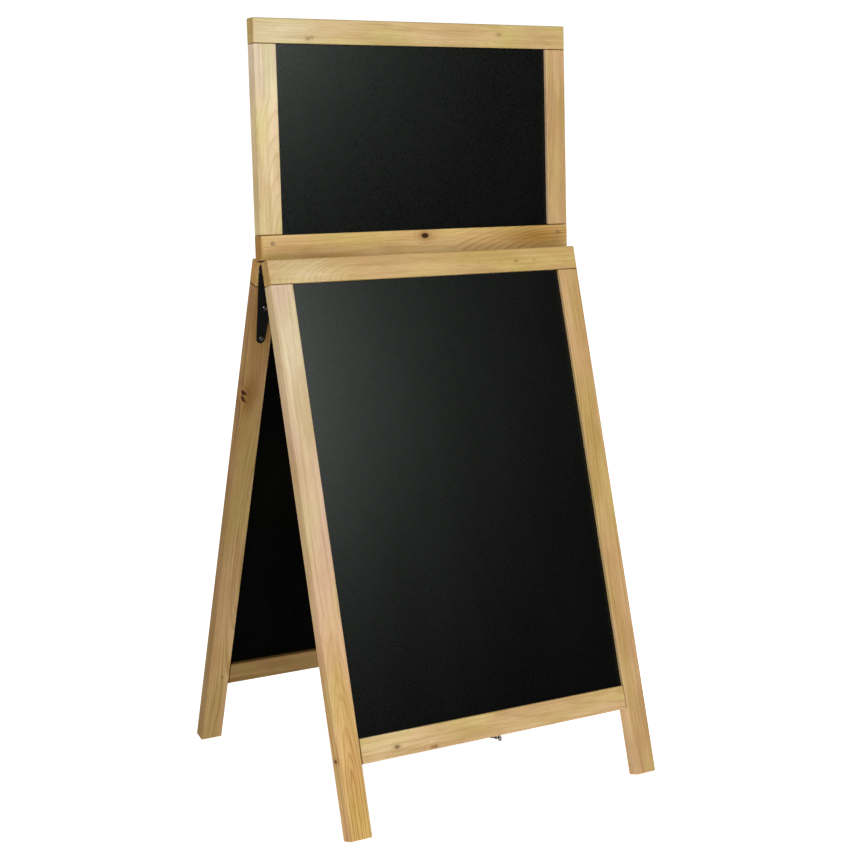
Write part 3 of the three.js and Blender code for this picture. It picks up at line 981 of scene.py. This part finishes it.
def make_joint_pin(node, side):
    """A fluted dowel with chamfered ends where a CAD node is."""
    low, high = node_box(node, side)
    length = high.y - low.y
    radius = (high.x - low.x) / 2
    profile = [(0, 0), (radius - PIN_CHAMFER, 0), (radius, PIN_CHAMFER)]
    profile += [(radius, length / 2), (radius, length - PIN_CHAMFER)]
    profile += [(radius - PIN_CHAMFER, length), (0, length)]
    vertices, faces = lathe(profile, PIN_SIDES)
    for index, vertex in enumerate(vertices):
        if PIN_CHAMFER < vertex.y < length - PIN_CHAMFER and index % FLUTE_EVERY == 0:
            vertex.x *= FLUTE_RADIUS
            vertex.z *= FLUTE_RADIUS
    spot = Vector(((low.x + high.x) / 2, low.y, (low.z + high.z) / 2))
    place = PLACE[side] @ Matrix.Translation(spot)
    piece = new_piece(f"{node}_dowel", [place @ v for v in vertices], faces, PIN_WOOD)
    stand_in(piece, node)


for board_side in PLACE:
    for end_name in ("top", "bottom"):
        for hand in ("left", "right"):
            make_joint_pin(f"{board_side}_{end_name}_{hand}_pin", board_side)


# ---------------------------------------------------------------------------------------------
# Screw eyes and the stay chain
# ---------------------------------------------------------------------------------------------
EYE_RING, EYE_WIRE, EYE_SHANK = 3.4 * MM, 1.1 * MM, 1.4 * MM
EYE_SIDES = 14
EYE_RING_DEG = (38, 352)  # the part of the circle that the wire goes round, from the top
SHANK_STEPS, RING_STEPS, TAPER_STEPS = 9, 44, 6
LINK_WIRE, LINK_BEND = 0.85 * MM, 1.75 * MM
LINK_SIDES, BEND_STEPS = 8, 8
STAY_LINKS = 77
STAY_SAG = 24 * MM
STAY_SAMPLES = 2000


def sweep(path, radii, sides, closed=False):
    """Vertices and faces of a tube along a path whose points all lie in one plane."""
    path = [Vector(p) for p in path]
    count = len(path)
    ahead = [path[(i + 1) % count] if closed or i + 1 < count else path[i] for i in range(count)]
    behind = [path[i - 1] if closed or i > 0 else path[i] for i in range(count)]
    normal = Vector((0, 0, 0))
    for a, b in zip(path, path[1:], strict=False):
        normal += (a - path[0]).cross(b - path[0])
    normal.normalize()
    vertices = []
    for point, after, before, radius in zip(path, ahead, behind, radii, strict=True):
        side_way = (after - before).normalized().cross(normal)
        for i in range(sides):
            turn = math.tau * i / sides
            vertices.append(point + radius * (side_way * math.cos(turn) + normal * math.sin(turn)))
    faces = []
    for ring in range(count if closed else count - 1):
        low, high = ring * sides, ((ring + 1) % count) * sides
        for i in range(sides):
            j = (i + 1) % sides
            faces.append((low + i, low + j, high + j, high + i))
    if not closed:
        faces.append(tuple(range(sides)))
        faces.append(tuple(range((count - 1) * sides, count * sides)))
    return vertices, faces


def eye_ring_centre(side):
    """The middle of a screw eye's ring, in its board's axes."""
    low, high = node_box(f"{side}_screw_eye", side)
    middle = (low + high) / 2
    return Vector((middle.x, middle.y, low.z + EYE_RING + EYE_WIRE))


def make_screw_eye(side):
    """One wire: down the shank, round the ring and back to just under the neck."""
    node = f"{side}_screw_eye"
    centre = eye_ring_centre(side)
    top = node_box(node, side)[1].z
    path, radii = [], []
    neck = centre.z + 1.75 * EYE_RING
    for i in range(SHANK_STEPS + 1):
        path.append((centre.x, centre.y, top + (neck - top) * i / SHANK_STEPS))
        radii.append(EYE_SHANK * min(1.0, 0.3 + 0.35 * i))
    start, end = (math.radians(degrees) for degrees in EYE_RING_DEG)
    for i in range(RING_STEPS + 1):
        turn = start + (end - start) * i / RING_STEPS
        y, z = EYE_RING * math.sin(turn), EYE_RING * math.cos(turn)
        path.append((centre.x, centre.y + y, centre.z + z))
        radii.append(EYE_WIRE + (EYE_SHANK - EYE_WIRE) * max(0.0, 1 - i / TAPER_STEPS))
    vertices, faces = sweep(path, radii, EYE_SIDES)
    place = PLACE[side]
    piece = new_piece(f"{node}_wire", [place @ v for v in vertices], faces, ZINC_STEEL, 60)
    stand_in(piece, node)


def link_path(length):
    """The centre line of one link, in the XY plane with its length along X."""
    straight = length / 2 - LINK_BEND
    points = []
    for end, first in ((1, -90), (-1, 90)):
        for i in range(BEND_STEPS + 1):
            turn = math.radians(first + 180 * i / BEND_STEPS)
            x, y = end * straight + LINK_BEND * math.cos(turn), LINK_BEND * math.sin(turn)
            points.append((x, y, 0))
    return points


def stay_route(start, end):
    """Points along the sagging chain, and how far each is from its start."""
    route = []
    for i in range(STAY_SAMPLES + 1):
        share = i / STAY_SAMPLES
        point = start.lerp(end, share)
        point.z -= 4 * STAY_SAG * share * (1 - share)
        route.append(point)
    walked = [0.0]
    for a, b in zip(route, route[1:], strict=False):
        walked.append(walked[-1] + (b - a).length)
    return route, walked


def make_stay_chain():
    """Welded links from one screw eye to the other, each a quarter turn from the last."""
    start = PLACE["front"] @ eye_ring_centre("front")
    end = PLACE["rear"] @ eye_ring_centre("rear")
    route, walked = stay_route(start, end)
    inset = EYE_RING - EYE_WIRE - LINK_WIRE
    span = walked[-1] - 2 * inset
    pitch = (span - 2 * LINK_WIRE) / STAY_LINKS
    link_length = pitch + 2 * LINK_WIRE
    path = link_path(link_length)
    ring, ring_faces = sweep(path, [LINK_WIRE] * len(path), LINK_SIDES, closed=True)
    flat = Vector((1, 0, 0))
    vertices, faces = [], []
    for i in range(STAY_LINKS):
        distance = inset + link_length / 2 + pitch * i
        index = min(int(np.searchsorted(walked, distance)), STAY_SAMPLES)
        centre = route[index]
        way = (centre - route[index - 1]).normalized()
        across = flat if i % 2 == 0 else flat.cross(way)
        link_axes = Matrix((way, across, way.cross(across))).transposed()
        base = len(vertices)
        vertices += [centre + link_axes @ v for v in ring]
        faces += [tuple(base + k for k in face) for face in ring_faces]
    piece = new_piece("stay_chain_links", vertices, faces, ZINC_STEEL, 60)
    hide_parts("stay_chain")
    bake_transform(piece)


make_screw_eye("front")
make_screw_eye("rear")
make_stay_chain()


# ---------------------------------------------------------------------------------------------
# Floor, light and camera
# ---------------------------------------------------------------------------------------------
FLOOR_REACH = 60.0


def make_floor():
    """A wide pale floor that glows a little, so that it has no edge against the backdrop."""
    material, _, _ = new_material(
        "pale_floor",
        base_color=colour(0.9, 0.9, 0.9),
        specular_ior_level=0.1,
        roughness=0.9,
        emission_color=WHITE,
        emission_strength=0.86,
    )
    low, high = -FLOOR_REACH, FLOOR_REACH
    corners = [(low, low, 0), (high, low, 0), (high, high, 0), (low, high, 0)]
    floor = new_piece("floor", corners, [(0, 1, 2, 3)], material)
    floor.visible_glossy = False


LIGHT_AIM = Vector((0, 0, 0.7))
KEY_WAY = Vector((0.1812, -0.9079, 0.3784))
KEY_DISTANCE = 3.126
KEY_SIZE = (1.158, 0.988)
KEY_POWER = 38.0
FILL_WAY = Vector((-0.80, -0.55, 0.24)).normalized()
FILL_DISTANCE = 4.2
FILL_SIZE = (1.8, 1.6)
FILL_POWER = 50.0


def make_softbox(name, way, distance, size, power):
    """A rectangular soft light that faces LIGHT_AIM from some way off."""
    data = bpy.data.lights.new(name, "AREA")
    data.shape = "RECTANGLE"
    data.size, data.size_y = size
    data.energy = power
    lamp = bpy.data.objects.new(name, data)
    lamp.location = LIGHT_AIM + way * distance
    lamp.rotation_euler = way.to_track_quat("Z", "Y").to_euler()
    bpy.context.scene.collection.objects.link(lamp)


# The room as the object sees it, by the direction looked in. A turn is where, from -1 to 1 along
# that axis, one brightness gives way to the other.
ROOM_FRONT, ROOM_BACK, BACK_TURN = 0.0055, 0.70, (-0.40, 0.55)
ROOM_LEFT, ROOM_RIGHT, RIGHT_TURN = 0.25, 1.0, (-0.5, 0.4)
CEILING, CEILING_TURN = 0.6, (0.55, 0.95)
BACKDROP = 1.1


def make_world():
    """White to the camera; to the object, a room that is bright behind and dim in front."""
    world = bpy.data.worlds.new("studio")
    world.use_nodes = True
    bpy.context.scene.world = world
    tree = Tree(world.node_tree)
    tree.nodes.clear()
    way = tree.add("ShaderNodeTexCoord").outputs["Generated"]
    right, back, up = tree.split(way)
    room = tree.ease(back, *BACK_TURN, ROOM_FRONT, ROOM_BACK)
    room = tree.math("MULTIPLY", room, tree.ease(right, *RIGHT_TURN, ROOM_LEFT, ROOM_RIGHT))
    ceiling = tree.ease(up, *CEILING_TURN, 0.0, CEILING)
    glow = tree.math("MAXIMUM", room, ceiling)
    seen = tree.add("ShaderNodeLightPath").outputs["Is Camera Ray"]
    strength = tree.math("MAXIMUM", glow, tree.math("MULTIPLY", seen, BACKDROP))
    background = tree.add("ShaderNodeBackground", {"Color": WHITE, "Strength": strength})
    out = tree.add("ShaderNodeOutputWorld")
    tree.links.new(background.outputs[0], out.inputs["Surface"])


CAMERA_AT = Vector((-1.4380, -2.3855, 1.03264))
CAMERA_YAW, CAMERA_PITCH, CAMERA_ROLL = 31.25, 9.95, -0.07
CAMERA_LENS, SENSOR = 76.17, 36.0


def make_camera():
    """The camera at the viewpoint that the object is shown from."""
    data = bpy.data.cameras.new("camera")
    data.lens = CAMERA_LENS
    data.sensor_width = SENSOR
    data.clip_start, data.clip_end = 0.05, 200
    camera = bpy.data.objects.new("camera", data)
    turn = Euler((math.radians(90 - CAMERA_PITCH), 0, math.radians(-CAMERA_YAW)), "XYZ").to_matrix()
    roll = Matrix.Rotation(math.radians(-CAMERA_ROLL), 3, "Z")
    camera.matrix_world = Matrix.Translation(CAMERA_AT) @ (turn @ roll).to_4x4()
    bpy.context.scene.collection.objects.link(camera)
    bpy.context.scene.camera = camera


make_floor()
make_softbox("key_softbox", KEY_WAY, KEY_DISTANCE, KEY_SIZE, KEY_POWER)
make_softbox("fill_softbox", FILL_WAY, FILL_DISTANCE, FILL_SIZE, FILL_POWER)
make_world()
make_camera()
bpy.context.scene.view_settings.view_transform = "Standard"
